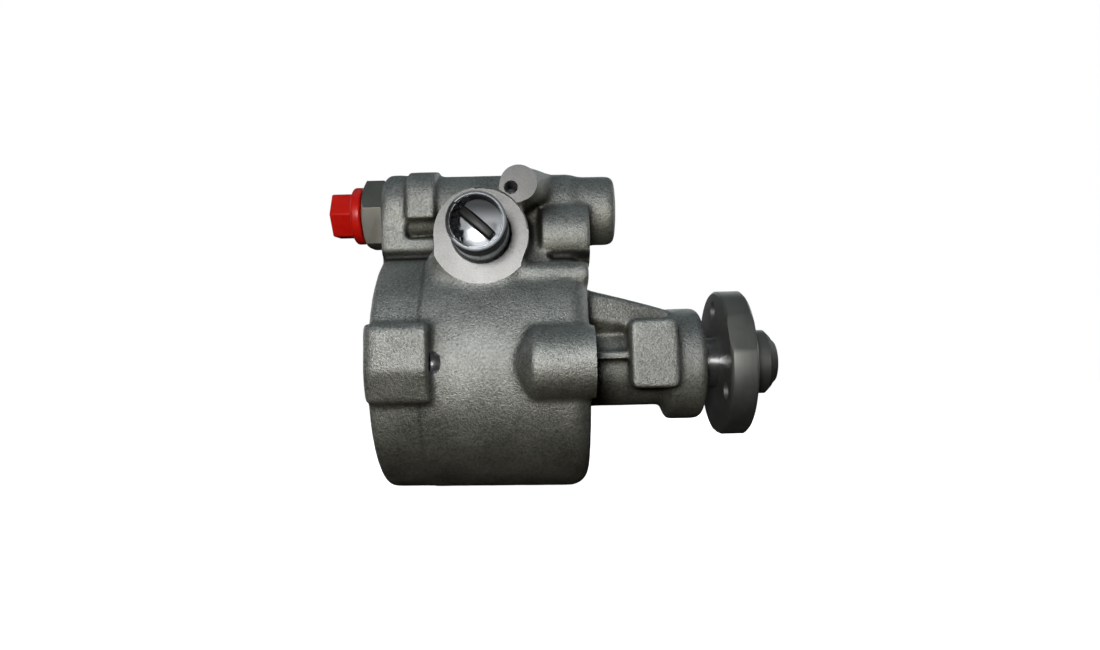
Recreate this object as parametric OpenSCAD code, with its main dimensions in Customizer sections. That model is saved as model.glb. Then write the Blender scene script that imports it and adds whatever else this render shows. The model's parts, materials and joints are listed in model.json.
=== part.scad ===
// Hydraulic power steering pump, vane type, with a cast housing and a remote reservoir.
// X runs along the drive shaft towards the pulley flange and Z points up.
// The origin is on the shaft axis, in the plane of the machined front boss faces.

/* [Cast body] */
// Outer radius of the body at its front end
body_front_r = 45.3; // [44.8:0.1:46]
// Outer radius of the body at its open rear end
body_rear_r = 44.3; // [43.6:0.1:44.8]
// Length of the body behind the boss faces
body_length = 75.5; // [75:0.25:76.5]
// Rounding of the body's front edge
front_round = 7; // [5:0.5:8]
// Rounding of the body's rear edge
rear_round = 2.5; // [1.5:0.5:4]
// Depth of the cast front face behind the boss faces
face_setback = 1; // [0.5:0.1:1.5]

/* [Snout] */
// Outer radius of the tube around the shaft
snout_r = 15.75; // [15:0.25:16.5]
// Length of the snout in front of the boss faces
snout_length = 43; // [42:0.25:44]
// Outer radius of the collar at the snout's tip
collar_r = 21.3; // [20.5:0.1:22]
// Length of the collar at its full radius, with its rounded edge
collar_length = 13.2; // [12:0.2:14]
// Length of the slope behind the collar
collar_slope = 2.4; // [2:0.2:4]
// Rounding of the collar's front edge
collar_round = 3; // [1:0.5:4]
// Height of the gusset where it leaves the body
gusset_root_z = 28; // [27.4:0.2:29]
// Height of the gusset where it meets the collar
gusset_tip_z = 19.8; // [19.4:0.2:20.4]
// Rounding of the gusset's upper edges
gusset_round = 4; // [2:0.5:5]
// Height of the gusset's lower edge
gusset_low_z = 16.5; // [15.5:0.5:17.5]
// Half the width of the gusset
gusset_half_width = 17; // [15:0.5:18]
// Distance of the flat pad from the shaft axis
pad_reach = 23; // [22:0.5:24]
// Length of the pad along the shaft
pad_length = 17.4; // [16:0.2:18]
// Height of the pad
pad_height = 24.8; // [23:0.2:26]
// Height of the pad's centre
pad_z = 3.1; // [2:0.1:4]
// Rounding of the pad's corners
pad_round = 2.6; // [1:0.2:4]
// Thickness of the side rib
rib_thickness = 3; // [2:0.25:3.5]
// Distance of the side rib's edge from the shaft axis
rib_reach = 20; // [18:0.5:21]

/* [Mounting bosses] */
// Radius of the front bosses
front_boss_r = 12.2; // [11:0.1:13]
// Distance of the front bosses from the shaft axis
front_boss_y = 42; // [41.5:0.5:43]
// Length of a front boss at its full radius
front_boss_length = 20.4; // [19:0.2:22]
// Length of a front boss's tapered rear end
front_boss_taper = 8; // [7:0.5:8.5]
// Tapping radius of the mounting threads
mount_hole_r = 3.4; // [3:0.1:3.6]
// Depth of the front mounting threads
mount_hole_depth = 16; // [14:0.5:18]
// Length of the rear boss along the shaft
rear_boss_length = 21.4; // [20.6:0.2:22.2]
// Distance of the rear boss's flat from the shaft axis
rear_boss_reach = 51.5; // [51:0.5:53]
// Height of the rear boss above the shaft axis
rear_boss_top = 14; // [13.2:0.2:14.6]
// Depth of the rear boss below the shaft axis
rear_boss_bottom = 12.5; // [11:0.2:13]
// Distance of the rear mounting hole from the shaft axis
rear_hole_y = 45; // [44.8:0.1:45.6]
// Height of the rear mounting hole
rear_hole_z = 0.8; // [0:0.1:1.5]

/* [Valve barrel] */
// Height of the valve axis above the shaft axis
valve_z = 59.5; // [59:0.1:60.2]
// Offset of the valve axis towards the inlet side
valve_y = 6; // [5:0.5:6.5]
// Radius of the barrel
barrel_r = 14.4; // [14:0.1:14.7]
// Radius of the barrel's blind front end
barrel_end_r = 13.2; // [12.6:0.1:13.6]
// Reach of the blind end in front of the boss faces
barrel_reach = 11.3; // [10:0.1:12]
// Radius of the ring at the outlet end
outlet_ring_r = 15.3; // [15:0.1:16]
// Length of the ring at the outlet end
outlet_ring_length = 9.2; // [9:0.1:10]
// Reach of the outlet end behind the body's rear edge
outlet_overhang = 0.2; // [0:0.1:0.6]
// Radius of the ear next to the outlet ring
ear_r = 17.1; // [16.5:0.1:17.6]
// Length of the ear
ear_length = 10.8; // [10:0.2:11.6]
// Radius of the bulge below the blind end
bulge_r = 11.6; // [11.2:0.1:11.9]
// Length of the bulge
bulge_length = 17.6; // [16.5:0.1:18.5]

/* [Inlet] */
// Distance of the inlet axis behind the boss faces
inlet_back = 37.6; // [37.2:0.1:38]
// Height of the inlet axis
inlet_z = 45.6; // [45.4:0.1:46]
// Radius of the inlet boss
inlet_boss_r = 16.7; // [16:0.1:17]
// Distance of the machined inlet face from the shaft axis
inlet_face = 34.4; // [34:0.1:34.8]
// Radius of the inlet face's lower lobe
lobe_r = 17.9; // [17.6:0.1:18.2]
// Radius at which the inlet face's cutter bites the clamp lug
spot_face_r = 16; // [15.6:0.1:16.2]
// Outer radius of the stub tube
stub_r = 9.9; // [9.7:0.05:10]
// Wall thickness of the stub tube
stub_wall = 1.1; // [0.9:0.1:1.4]
// Length of the stub in front of the inlet face
stub_length = 19.6; // [18.4:0.2:19.8]
// Depth of the dust plug's floor below the stub's rim
plug_depth = 6; // [5:0.5:7]
// Width of the dust plug's pull bar
bar_width = 2.6; // [2:0.2:3]
// Radius of the clamp lug
lug_r = 6.6; // [6.4:0.1:6.9]
// Distance of the clamp lug behind the boss faces
lug_back = 24.2; // [23.8:0.1:24.6]
// Height of the clamp lug
lug_z = 62.4; // [62:0.1:62.8]
// Distance of the lug's face from the shaft axis
lug_face = 37.5; // [37:0.1:38]
// Tapping radius of the lug's thread
lug_hole_r = 2.25; // [2:0.05:2.4]
// Distance of the lug's thread behind the boss faces
lug_hole_back = 26.8; // [26.5:0.1:27]
// Drop of the clamp hole below the lug's centre
lug_hole_drop = 1.5; // [1.2:0.1:1.6]

/* [Outlet] */
// Width across the flats of the outlet fitting
fitting_flats = 24.1; // [23.8:0.1:24.8]
// Length of the fitting's hexagon
fitting_hex_length = 7.6; // [7:0.1:8.4]
// Radius of the fitting's thread
fitting_thread_r = 10; // [9.8:0.1:10.1]
// Length of the fitting's thread
fitting_thread_length = 15; // [14:0.2:15.4]
// Radius of the outlet port's thread
port_r = 7.3; // [6.9:0.1:7.6]
// Radius of the flow orifice
orifice_r = 2.2; // [1.8:0.1:2.6]
// Radius of the transport cap's flange
cap_flange_r = 10.85; // [10.4:0.05:11.3]
// Thickness of the transport cap's flange
cap_flange_length = 4.8; // [4:0.1:5.4]
// Width across the flats of the transport cap
cap_flats = 16.1; // [15.4:0.1:16.8]
// Length of the transport cap's hexagon
cap_hex_length = 8; // [7:0.1:9]

/* [Shaft and flange] */
// Radius of the shaft's journal
shaft_r = 9.5; // [9.3:0.05:9.6]
// Distance of the shaft's tip in front of the boss faces
shaft_tip = 72; // [71.5:0.25:73]
// Distance of the flange's rear face in front of the boss faces
flange_back = 49.4; // [48.8:0.2:50]
// Thickness of the flange
flange_thickness = 9.8; // [9:0.2:10.4]
// Radius of the flange
flange_r = 27.6; // [27.2:0.1:28.2]
// Distance of the flange's flats from the shaft axis
flange_flat = 26.6; // [26.2:0.1:27]
// Radius of the hub nose
hub_r = 12.3; // [12:0.1:12.8]
// Length of the hub nose
hub_length = 10.8; // [10:0.1:11.6]
// Radius of the pulley hole circle
pulley_circle_r = 20; // [19.5:0.1:20.4]
// Radius of the pulley holes
pulley_hole_r = 3.4; // [3:0.1:3.6]

/* [Pumping group] */
// Radius of the bore for the pumping group
cavity_r = 35; // [34.6:0.1:35.4]
// Depth of the end cover's outer face below the body's rear edge
cover_recess = 8; // [7.6:0.1:8.4]
// Thickness of the thrust plate
thrust_plate_length = 8; // [7.6:0.1:8.4]
// Width of the pump ring
ring_width = 17; // [16.6:0.1:17.4]
// Thickness of the pressure plate
pressure_plate_length = 10; // [9.6:0.1:10.4]
// Height of the pressure plate's spring
plate_spring_length = 8; // [7.6:0.1:8.4]
// Thickness of the end cover
end_cover_length = 10; // [9.6:0.1:10.4]
// Radius of the rotor
rotor_r = 20; // [19.8:0.1:20.2]
// Rise of the ring's two cam lobes
cam_rise = 2.6; // [2:0.1:3]
// Thickness of a vane
vane_thickness = 1.8; // [1.6:0.1:2]
// Length of a vane from its root to its tip
vane_length = 8.4; // [8.2:0.1:8.6]
// Free travel of a vane into its slot
vane_travel = 1.2; // [1:0.05:1.3]
// Radius of the shaft's splines
spline_r = 7.4; // [7.2:0.1:7.5]
// Number of splines
spline_count = 16; // [12:2:20]

/* [Flow control valve] */
// Radius of the valve bore
valve_bore_r = 9; // [8.8:0.1:9.2]
// Reach of the valve bore in front of the boss faces
valve_bore_reach = 4; // [3:0.2:5]
// Travel of the valve spool
spool_travel = 7; // [6:0.5:7.5]
// Travel of the relief ball
relief_travel = 1; // [0.6:0.1:1.2]

/* [Fits] */
// Radial clearance of a running fit
running_gap = 0.04; // [0.02:0.01:0.06]
// Side clearance of the rotor and the vanes
side_gap = 0.05; // [0.03:0.01:0.08]
// Clearance of a static fit
static_gap = 0.02; // [0.01:0.01:0.04]
// Smallest clearance between a vane's tip and the ring
tip_gap = 0.15; // [0.1:0.01:0.2]

/* [Hidden] */
$fn = 72;
vane_count = 10;
snap = 0.01;
root = 4;
thread_chamfer = 0.7;
outlet_face = body_length + outlet_overhang;
rear_boss_x = 0.1 - body_length;
// Stations along the shaft, from the bore's floor to the retaining ring
plate_stack = thrust_plate_length + ring_width + pressure_plate_length;
cavity_floor = body_length - cover_recess - end_cover_length - plate_spring_length - plate_stack;
thrust_x = -cavity_floor - thrust_plate_length;
ring_x = thrust_x - ring_width;
plate_x = ring_x - pressure_plate_length;
spring_x = plate_x - plate_spring_length;
cover_x = spring_x - end_cover_length;
// Retaining ring and its groove
clip_wire_r = 1.1;
clip_x = cover_x - clip_wire_r - static_gap;
clip_mean_r = cavity_r + 0.2;
// Cam ring
ring_r = cavity_r - 1.5;
cam_minor_r = rotor_r + 0.25 + tip_gap;
tip_r = cam_minor_r - tip_gap;
vane_root_r = tip_r - vane_length;
slot_root_r = vane_root_r - vane_travel - tip_gap;
dowel_r = 2;
dowel_circle_r = cavity_r - 6.6;
dowel_depth = 6;
plate_spring_outer_r = cavity_r - 4;
plate_spring_inner_r = 17;
plate_spring_thickness = 1.2;
cover_dish_r = cavity_r - 9;
cover_dish_floor_r = cavity_r - 12;
cover_pocket_r = 20;
port_mid_r = 18.4;
port_width = 3.4;
port_sweep = 46;
// O-rings
o_ring_r = 1.25;
o_groove_depth = 2 * o_ring_r + 2 * static_gap;
o_groove_width = 3.2;
// Shaft
spline_depth = 0.9;
spline_front = -cavity_floor + 0.5;
clip_groove_x = ring_x - 1.6;
spline_back = ring_x - 4.5;
bush_wall = 2;
bush_front = snout_length - 6.8;
bush_back = 5;
seal_r = 15.6;
seal_length = 5.8;
flange_front = flange_back + flange_thickness;
hub_front = flange_front + hub_length;
first_hole_angle = 87;
flat_angle = 22;
// Outlet
fitting_x = -outlet_face - fitting_hex_length;
fitting_in_x = -outlet_face + fitting_thread_length;
cap_x = fitting_x - cap_flange_length;
fitting_turn = 29.5;
cap_turn = 23;
fitting_o_ring_r = 0.95;
fitting_groove_width = 2.4;
port_depth = 13;
// Flow control valve
land_r = valve_bore_r - running_gap;
nose_r = 3.5;
nose_x = fitting_in_x + 0.1;
nose_length = 12;
land_x = nose_x + nose_length;
land_length = 6;
waist_r = 6;
waist_length = 8;
spool_length = 32;
spool_end = land_x + spool_length;
balance_pitch = 4;
relief_bore_r = 4.5;
relief_bore_x = land_x + land_length;
vent_r = 1.2;
flow_spring_r = valve_bore_r - 2;
flow_spring_wire_r = 0.65;
relief_spring_r = 2.7;
relief_spring_wire_r = 0.5;
relief_hex_flats = 9;
relief_hex_length = 5;
relief_plug_length = 6;
relief_ball_r = 2.2;
relief_seat_r = 1.7;
guide_r = 3.4;
guide_stem_r = 1.6;
relief_seat_x = spool_end - relief_plug_length;
relief_seat_depth = sqrt(relief_ball_r * relief_ball_r - relief_seat_r * relief_seat_r);
relief_ball_x = relief_seat_x - relief_seat_depth - static_gap;
guide_x = relief_ball_x - relief_ball_r - static_gap;
// Inlet
stub_rim = inlet_face + stub_length;
press_r = stub_r + 0.4;
press_depth = 16;
mouth_r = 11.2;
mouth_depth = 1.2;
passage_r = 8;
plug_r = stub_r - stub_wall - static_gap;
plug_wall = 0.8;
lobe_width = 17.4;

// Points of an arc in the plane
function arc(centre, r, from, to, steps) = [
    for (i = [0 : steps])
        let (a = from + (to - from) * i / steps)
        centre + r * [cos(a), sin(a)]
];

// Outline of a toothed circle with straight-sided teeth
function toothed(r, depth, count) = [
    for (i = [0 : count - 1], s = [0 : 3])
        let (a = 360 / count * (i + s / 4 + (s % 2 == 0 ? 0.04 : -0.04)))
        (s < 2 ? r : r - depth) * [cos(a), sin(a)]
];

// Outline of the two-lobed cam
function cam(minor_r, rise, steps) = [
    for (i = [0 : steps - 1])
        let (a = 360 * i / steps)
        (minor_r + rise * (1 - cos(2 * a)) / 2) * [cos(a), sin(a)]
];

// Puts a shape's own Z axis along +X
module on_x(x, y = 0, z = 0) {
    translate([x, y, z]) rotate([0, 90, 0]) children();
}

// Puts a shape's own Z axis along -Y, so that its drawing reads as X and Z
module on_y(x, y, z) {
    translate([x, y, z]) rotate([90, 0, 0]) children();
}

// Draws in Y and Z and extrudes along +X
module section(x, length) {
    translate([x, 0, 0]) rotate([90, 0, 90]) linear_extrude(length) children();
}

module rounded_rectangle(width, height, r) {
    square([width - 2 * r, height], center = true);
    square([width, height - 2 * r], center = true);
    for (x = [-1, 1], y = [-1, 1])
        translate([x * (width / 2 - r), y * (height / 2 - r)]) circle(r);
}

module tube(outer_r, inner_r, length) {
    difference() {
        cylinder(r = outer_r, h = length);
        translate([0, 0, -1]) cylinder(r = inner_r, h = length + 2);
    }
}

module torus(mean_r, section_r) {
    rotate_extrude() translate([mean_r, 0]) circle(section_r, $fn = 32);
}

// Hexagon with its corners turned down to a cone at the far end
module hexagon(flats, length, chamfer) {
    corner_r = flats / sqrt(3);
    intersection() {
        cylinder(r = corner_r, h = length, $fn = 6);
        rotate_extrude() polygon([
            [0, 0], [corner_r + 1, 0], [corner_r + 1, length - chamfer - 0.6],
            [corner_r - 1.7 * chamfer, length], [0, length]
        ]);
    }
}

// Blind drilling with a cone point, from the mouth along its own +Z
module drilling(r, depth, chamfer) {
    cylinder(r = r, h = depth);
    translate([0, 0, depth]) cylinder(r1 = r, r2 = 0, h = r * 0.6);
    translate([0, 0, -1]) cylinder(r1 = r + chamfer + 1, r2 = r, h = chamfer + 1);
}

// Helical wire spring that stands on its own XY plane
module coil_spring(mean_r, wire_r, length, turns) {
    sides = 8;
    steps = turns * 16;
    rise = length - 2 * wire_r;
    points = [
        for (i = [0 : steps], s = [0 : sides - 1])
            let (a = 360 * turns * i / steps, b = 360 * s / sides, r = mean_r + wire_r * cos(b))
            [r * cos(a), r * sin(a), wire_r + rise * i / steps + wire_r * sin(b)]
    ];
    walls = [
        for (i = [0 : steps - 1], s = [0 : sides - 1])
            let (n = (s + 1) % sides, low = i * sides, high = low + sides)
            [low + s, high + s, high + n, low + n]
    ];
    start_cap = [for (s = [0 : sides - 1]) s];
    end_cap = [for (s = [sides - 1 : -1 : 0]) steps * sides + s];
    polyhedron(points, concat([start_cap], walls, [end_cap]));
}

module cast_body() {
    on_x(0) rotate_extrude() polygon(concat(
        [[0, -body_length]],
        arc([body_rear_r - rear_round, rear_round - body_length], rear_round, -90, 0, 5),
        arc([body_front_r - front_round, -face_setback - front_round], front_round, 0, 90, 6),
        [[0, -face_setback]]
    ));
}

module snout() {
    collar_x = snout_length - collar_length;
    on_x(0) rotate_extrude() polygon(concat(
        [[0, -root], [snout_r, -root], [snout_r, collar_x - collar_slope], [collar_r, collar_x]],
        arc([collar_r - collar_round, snout_length - collar_round], collar_round, 0, 90, 5),
        [[0, snout_length]]
    ));
    gusset(collar_x + 1);
    pad_x = collar_x - pad_length / 2 + 2.2;
    on_y(pad_x, -root, pad_z) linear_extrude(pad_reach - root)
        rounded_rectangle(pad_length, pad_height, pad_round);
    for (side = [-rib_reach, 0])
        translate([-root, side, pad_z - rib_thickness / 2])
            cube([root + pad_x - pad_length / 2 + pad_round, rib_reach, rib_thickness]);
}

// Wedge that carries the collar: a round-edged bar along the slope, cut to its underside and its taper
module gusset(tip_x) {
    slope = atan((gusset_root_z - gusset_tip_z) / tip_x);
    shoulder = gusset_half_width - gusset_round;
    tip_half_width = gusset_half_width - 5.5;
    intersection() {
        translate([0, 0, gusset_root_z]) rotate([0, slope, 0]) section(-2 * root, tip_x + 4 * root)
            polygon(concat(
                [[-gusset_half_width, -gusset_root_z]],
                arc([-shoulder, -gusset_round], gusset_round, 180, 90, 4),
                arc([shoulder, -gusset_round], gusset_round, 90, 0, 4),
                [[gusset_half_width, -gusset_root_z]]
            ));
        section(-root, tip_x + root) polygon([
            [-gusset_half_width, gusset_low_z], [-gusset_half_width, gusset_root_z + 1],
            [gusset_half_width, gusset_root_z + 1], [gusset_half_width, gusset_low_z],
            [snout_r * 0.6, snout_r * 0.6], [-snout_r * 0.6, snout_r * 0.6]
        ]);
        linear_extrude(gusset_root_z + 1) polygon([
            [-root, -gusset_half_width - 1], [tip_x, -tip_half_width],
            [tip_x, tip_half_width], [-root, gusset_half_width + 1]
        ]);
    }
}

module front_boss(y) {
    point_r = 0.9;
    on_x(-front_boss_length, y) cylinder(r = front_boss_r, h = front_boss_length);
    on_x(-front_boss_length - front_boss_taper, y)
        cylinder(r1 = point_r, r2 = front_boss_r, h = front_boss_taper + snap);
}

module rear_boss() {
    slant = 5.5;
    top_round = 3.5;
    back_round = 4;
    front_x = rear_boss_x + rear_boss_length;
    intersection() {
        section(rear_boss_x, rear_boss_length) polygon(concat(
            arc([top_round - rear_boss_reach, rear_boss_top - top_round], top_round, 90, 180, 5),
            [[-rear_boss_reach, -1.9], [slant - rear_boss_reach, -rear_boss_bottom]],
            [[-cavity_r - 1, -rear_boss_bottom], [-cavity_r - 1, rear_boss_top]]
        ));
        translate([0, 0, -rear_boss_bottom - 1]) linear_extrude(rear_boss_top + rear_boss_bottom + 2)
            polygon(concat(
                arc([rear_boss_x + back_round, back_round - rear_boss_reach], back_round, 180, 270, 5),
                [[front_x, -rear_boss_reach], [front_x, -cavity_r], [rear_boss_x, -cavity_r]]
            ));
    }
}

module valve_barrel() {
    end_round = 2.5;
    step_x = -6;
    ring_edge = 3;
    ring_shoulder = 2.4;
    ear_x = outlet_ring_length - outlet_face + 0.4;
    ear_drop = 5.2;
    ear_reach = valve_y + ear_r - 0.2;
    ear_round = 11;
    ear_sink = 2.4;
    ledge_end = ear_x + ear_length;
    web_low = body_rear_r - 6;
    bulge_y = valve_y + 10;
    bulge_z = valve_z - 12;
    bulge_front = 0.8;
    // Rounded foot below the bulge
    foot_r = 4.4;
    foot_y = 30.4;
    foot_z = 31.4;
    block_reach = valve_y + 14.5;
    ledge_reach = block_reach - 0.5;
    ledge_low = body_rear_r - 1.7;
    ledge_top = ledge_low + 5.2;
    on_x(0, -valve_y, valve_z) rotate_extrude() polygon(concat(
        [[0, -outlet_face]],
        arc([outlet_ring_r - ring_edge, ring_edge - outlet_face], ring_edge, -90, 0, 5),
        arc([outlet_ring_r - ring_shoulder, ear_x - 0.4 - ring_shoulder], ring_shoulder, 0, 70, 4),
        [[barrel_r - 1, ear_x], [barrel_r - 1, ear_x + 1], [barrel_r, ear_x + 1]],
        [[barrel_r, step_x], [barrel_end_r, step_x + 4]],
        arc([barrel_end_r - end_round, barrel_reach - end_round], end_round, 0, 90, 4),
        [[0, barrel_reach]]
    ));
    // Ear over the barrel: upright on the near side, round on the far one
    section(ear_x, ear_length) polygon(concat(
        [[-ear_reach, valve_z - ear_drop]],
        arc([ear_round - ear_reach, valve_z + ear_r - ear_sink - ear_round], ear_round, 180, 90, 6),
        arc([-valve_y, valve_z], ear_r, 90, -asin(ear_drop / ear_r), 12)
    ));
    // Block below the outlet ring, and the ledge that runs on from it
    section(-outlet_face, outlet_ring_length) polygon([
        [-block_reach, valve_z], [-block_reach, ledge_low], [4, ledge_low], [8, valve_z]
    ]);
    section(-outlet_face + 2, ledge_end + outlet_face - 2) polygon([
        [-ledge_reach, ledge_top], [-ledge_reach, ledge_low], [0, ledge_low], [0, ledge_top]
    ]);
    // Web down to the body, and the bulge at its front end
    section(-body_length + 1, body_length - 2.5) polygon([
        [-14, web_low], [-14, valve_z], [4, valve_z], [4, web_low]
    ]);
    on_x(bulge_front - bulge_length, -bulge_y, bulge_z) cylinder(r = bulge_r, h = bulge_length);
    on_x(-bulge_length - 5, -foot_y, foot_z) cylinder(r = foot_r, h = bulge_length + 4.6);
}

module inlet_boss() {
    on_y(-inlet_back, -8, inlet_z) cylinder(r = inlet_boss_r, h = inlet_face - 8);
    inlet_lobe(-24, inlet_face - 24);
}

// Lower part of the inlet face, where its cutter runs into the body
module inlet_lobe(y, length) {
    intersection() {
        on_y(-inlet_back, y, inlet_z) cylinder(r = lobe_r, h = length);
        translate([-inlet_back - lobe_width / 2, y - length, inlet_z - lobe_r - 1])
            cube([lobe_width, length, lobe_r / 2]);
    }
}

module clamp_lug() {
    on_y(-lug_back, -8, lug_z) cylinder(r = lug_r, h = lug_face - 8);
    // Flank that falls away to the barrel
    hull() {
        on_y(-lug_back, 1.2 - lug_face, lug_z) cylinder(r = lug_r - 0.05, h = 0.8, $fn = 32);
        translate([-lug_back, -valve_y - 2, valve_z + 2]) cube([lug_back - 10.5, 4, barrel_r - 2.6]);
    }
}

module front_bores() {
    journal_r = shaft_r + bush_wall + running_gap;
    on_x(-cavity_floor - 1) cylinder(r = shaft_r + 0.8, h = cavity_floor + bush_back + 2);
    on_x(bush_back) cylinder(r = journal_r, h = bush_front - bush_back + 1);
    on_x(bush_front) cylinder(r = seal_r, h = snout_length - bush_front + 1);
    for (y = [-front_boss_y, front_boss_y])
        translate([0, y, 0]) rotate([0, -90, 0]) drilling(mount_hole_r, mount_hole_depth, 0);
    on_x(-body_length - 1, -rear_hole_y, rear_hole_z)
        cylinder(r = mount_hole_r, h = rear_boss_length + 4.1);
    on_x(rear_boss_x - 1, -rear_hole_y, rear_hole_z)
        cylinder(r1 = mount_hole_r + 1 + thread_chamfer, r2 = mount_hole_r, h = 1 + thread_chamfer);
}

module cavity() {
    rim_x = body_length + 1;
    on_x(-rim_x) cylinder(r = cavity_r, h = rim_x - cavity_floor);
    on_x(-rim_x) cylinder(r1 = cavity_r + 2.5, r2 = cavity_r, h = 2.5);
    groove_half = clip_wire_r + static_gap;
    on_x(clip_x - groove_half) cylinder(r = clip_mean_r + groove_half, h = 2 * groove_half);
}

module valve_bores() {
    on_x(-outlet_face - 1, -valve_y, valve_z)
        cylinder(r = fitting_thread_r + static_gap, h = fitting_thread_length + 1);
    on_x(-outlet_face - 1, -valve_y, valve_z)
        cylinder(r = valve_bore_r, h = outlet_face + valve_bore_reach + 1);
    on_x(-outlet_face - 1, -valve_y, valve_z)
        cylinder(r = fitting_thread_r + 2 * fitting_o_ring_r + 0.1, h = 1 + fitting_groove_width);
    // Pressure passage up from the chamber behind the pressure plate
    translate([(plate_x + spring_x) / 2, -valve_y, cavity_r - 4])
        cylinder(r = 2.8, h = valve_z - cavity_r + 4);
    // Suction passage down to the pump ring
    translate([-inlet_back, -12, cavity_r - 6]) cylinder(r = 4, h = inlet_z - cavity_r + 6);
}

module inlet_bores() {
    on_y(-inlet_back, -inlet_face, inlet_z) cylinder(r = spot_face_r, h = 8);
    inlet_lobe(-inlet_face, 8);
    on_y(-inlet_back, press_depth - inlet_face, inlet_z)
        cylinder(r = press_r + static_gap, h = press_depth + 1);
    on_y(-inlet_back, mouth_depth - inlet_face, inlet_z) cylinder(r = mouth_r, h = mouth_depth + 1);
    on_y(-inlet_back, -4, inlet_z) cylinder(r = passage_r, h = inlet_face - press_depth - 3);
    translate([-lug_hole_back, -lug_face, lug_z - lug_hole_drop]) rotate([-90, 0, 0])
        drilling(lug_hole_r, 14, 0.2);
}

module pump_housing() {
    color("dimgray") difference() {
        union() {
            cast_body();
            snout();
            front_boss(-front_boss_y);
            front_boss(front_boss_y);
            rear_boss();
            valve_barrel();
            inlet_boss();
            clamp_lug();
        }
        front_bores();
        cavity();
        valve_bores();
        inlet_bores();
    }
}

// Disc with a groove for an O-ring around it, from x towards the front
module sealed_disc(x, length, groove_x) {
    difference() {
        on_x(x) cylinder(r = cavity_r - static_gap, h = length);
        on_x(groove_x - o_groove_width / 2) tube(cavity_r + 1, cavity_r - o_groove_depth, o_groove_width);
    }
}

module disc_o_ring(groove_x) {
    on_x(groove_x) torus(cavity_r - o_ring_r - static_gap, o_ring_r - static_gap / 2);
}

module end_cover() {
    color("slategray") difference() {
        sealed_disc(cover_x, end_cover_length, cover_x + end_cover_length / 2);
        on_x(cover_x - 1) cylinder(r1 = cover_dish_r, r2 = cover_dish_floor_r, h = 3);
        on_x(spring_x - 3) cylinder(r = cover_pocket_r, h = 4);
    }
}

module end_cover_retaining_ring() {
    gap_angle = 24;
    color("darkgray") on_x(clip_x) rotate([0, 0, gap_angle / 2])
        rotate_extrude(angle = 360 - gap_angle) translate([clip_mean_r, 0]) circle(clip_wire_r, $fn = 32);
}

module end_cover_o_ring() {
    color("black") disc_o_ring(cover_x + end_cover_length / 2);
}

module pressure_plate_spring() {
    height = plate_spring_length - 2 * snap;
    color("silver") on_x(spring_x + snap) rotate_extrude() polygon([
        [plate_spring_outer_r - plate_spring_thickness, 0], [plate_spring_outer_r, 0],
        [plate_spring_inner_r + plate_spring_thickness, height], [plate_spring_inner_r, height]
    ]);
}

module dowel_holes(r) {
    for (z = [-dowel_circle_r, dowel_circle_r])
        on_x(ring_x - dowel_depth, 0, z) cylinder(r = r, h = ring_width + 2 * dowel_depth);
}

// Curved port through a plate, centred on an angle
module kidney_port(x, length, angle) {
    on_x(x) rotate([0, 0, angle - port_sweep / 2]) rotate_extrude(angle = port_sweep)
        translate([port_mid_r, 0]) square([port_width, length]);
}

module pressure_plate() {
    color("gray") difference() {
        sealed_disc(plate_x, pressure_plate_length, plate_x + pressure_plate_length / 2);
        on_x(ring_x - 6) cylinder(r = 10.5, h = 7);
        for (angle = [45, 225]) kidney_port(plate_x - 1, pressure_plate_length + 2, angle);
        for (angle = [135, 315]) kidney_port(ring_x - 3, 4, angle);
        dowel_holes(dowel_r + static_gap);
    }
}

module pressure_plate_o_ring() {
    color("black") disc_o_ring(plate_x + pressure_plate_length / 2);
}

module pump_ring() {
    color("lightslategray") difference() {
        on_x(ring_x) linear_extrude(ring_width) difference() {
            circle(ring_r);
            polygon(cam(cam_minor_r, cam_rise, 90));
        }
        dowel_holes(dowel_r + static_gap);
    }
}

module rotor() {
    slot_width = vane_thickness + 2 * side_gap;
    color("gray") difference() {
        on_x(ring_x + side_gap) linear_extrude(ring_width - 2 * side_gap) difference() {
            circle(rotor_r);
            polygon(toothed(spline_r + static_gap, spline_depth, spline_count));
            for (i = [1 : vane_count]) rotate(360 / vane_count * i) {
                translate([slot_root_r, -slot_width / 2]) square([rotor_r, slot_width]);
                translate([slot_root_r, 0]) circle(slot_width * 0.6);
            }
        }
    }
}

// One vane in its slot, its tip rounded to the rotor's axis
module vane(i) {
    color("silver") on_x(ring_x + side_gap) rotate(360 / vane_count * i)
        linear_extrude(ring_width - 2 * side_gap) intersection() {
            translate([vane_root_r, -vane_thickness / 2]) square([vane_length + 1, vane_thickness]);
            circle(tip_r);
        }
}

module thrust_plate() {
    color("gray") difference() {
        on_x(thrust_x) cylinder(r = cavity_r - static_gap, h = thrust_plate_length);
        on_x(thrust_x - 1) cylinder(r = spline_r + 0.6, h = thrust_plate_length + 2);
        for (angle = [45, 225]) kidney_port(thrust_x - 1, 4, angle);
        for (angle = [135, 315]) kidney_port(thrust_x - 1, 4, angle);
        dowel_holes(dowel_r + static_gap);
    }
}

module dowel_pins() {
    color("silver") for (z = [-dowel_circle_r, dowel_circle_r])
        on_x(ring_x - dowel_depth + snap, 0, z)
            cylinder(r = dowel_r, h = ring_width + 2 * dowel_depth - 2 * snap);
}

module drive_shaft() {
    tip_chamfer = 1.6;
    color("silver") difference() {
        union() {
            on_x(spline_front) cylinder(r = shaft_r, h = shaft_tip - tip_chamfer - spline_front);
            on_x(shaft_tip - tip_chamfer)
                cylinder(r1 = shaft_r, r2 = shaft_r - tip_chamfer, h = tip_chamfer);
            on_x(spline_back) linear_extrude(spline_front - spline_back + 1)
                polygon(toothed(spline_r, spline_depth, spline_count));
        }
        on_x(clip_groove_x) tube(spline_r + 1, spline_r - 1.4, 1.2);
    }
}

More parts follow.
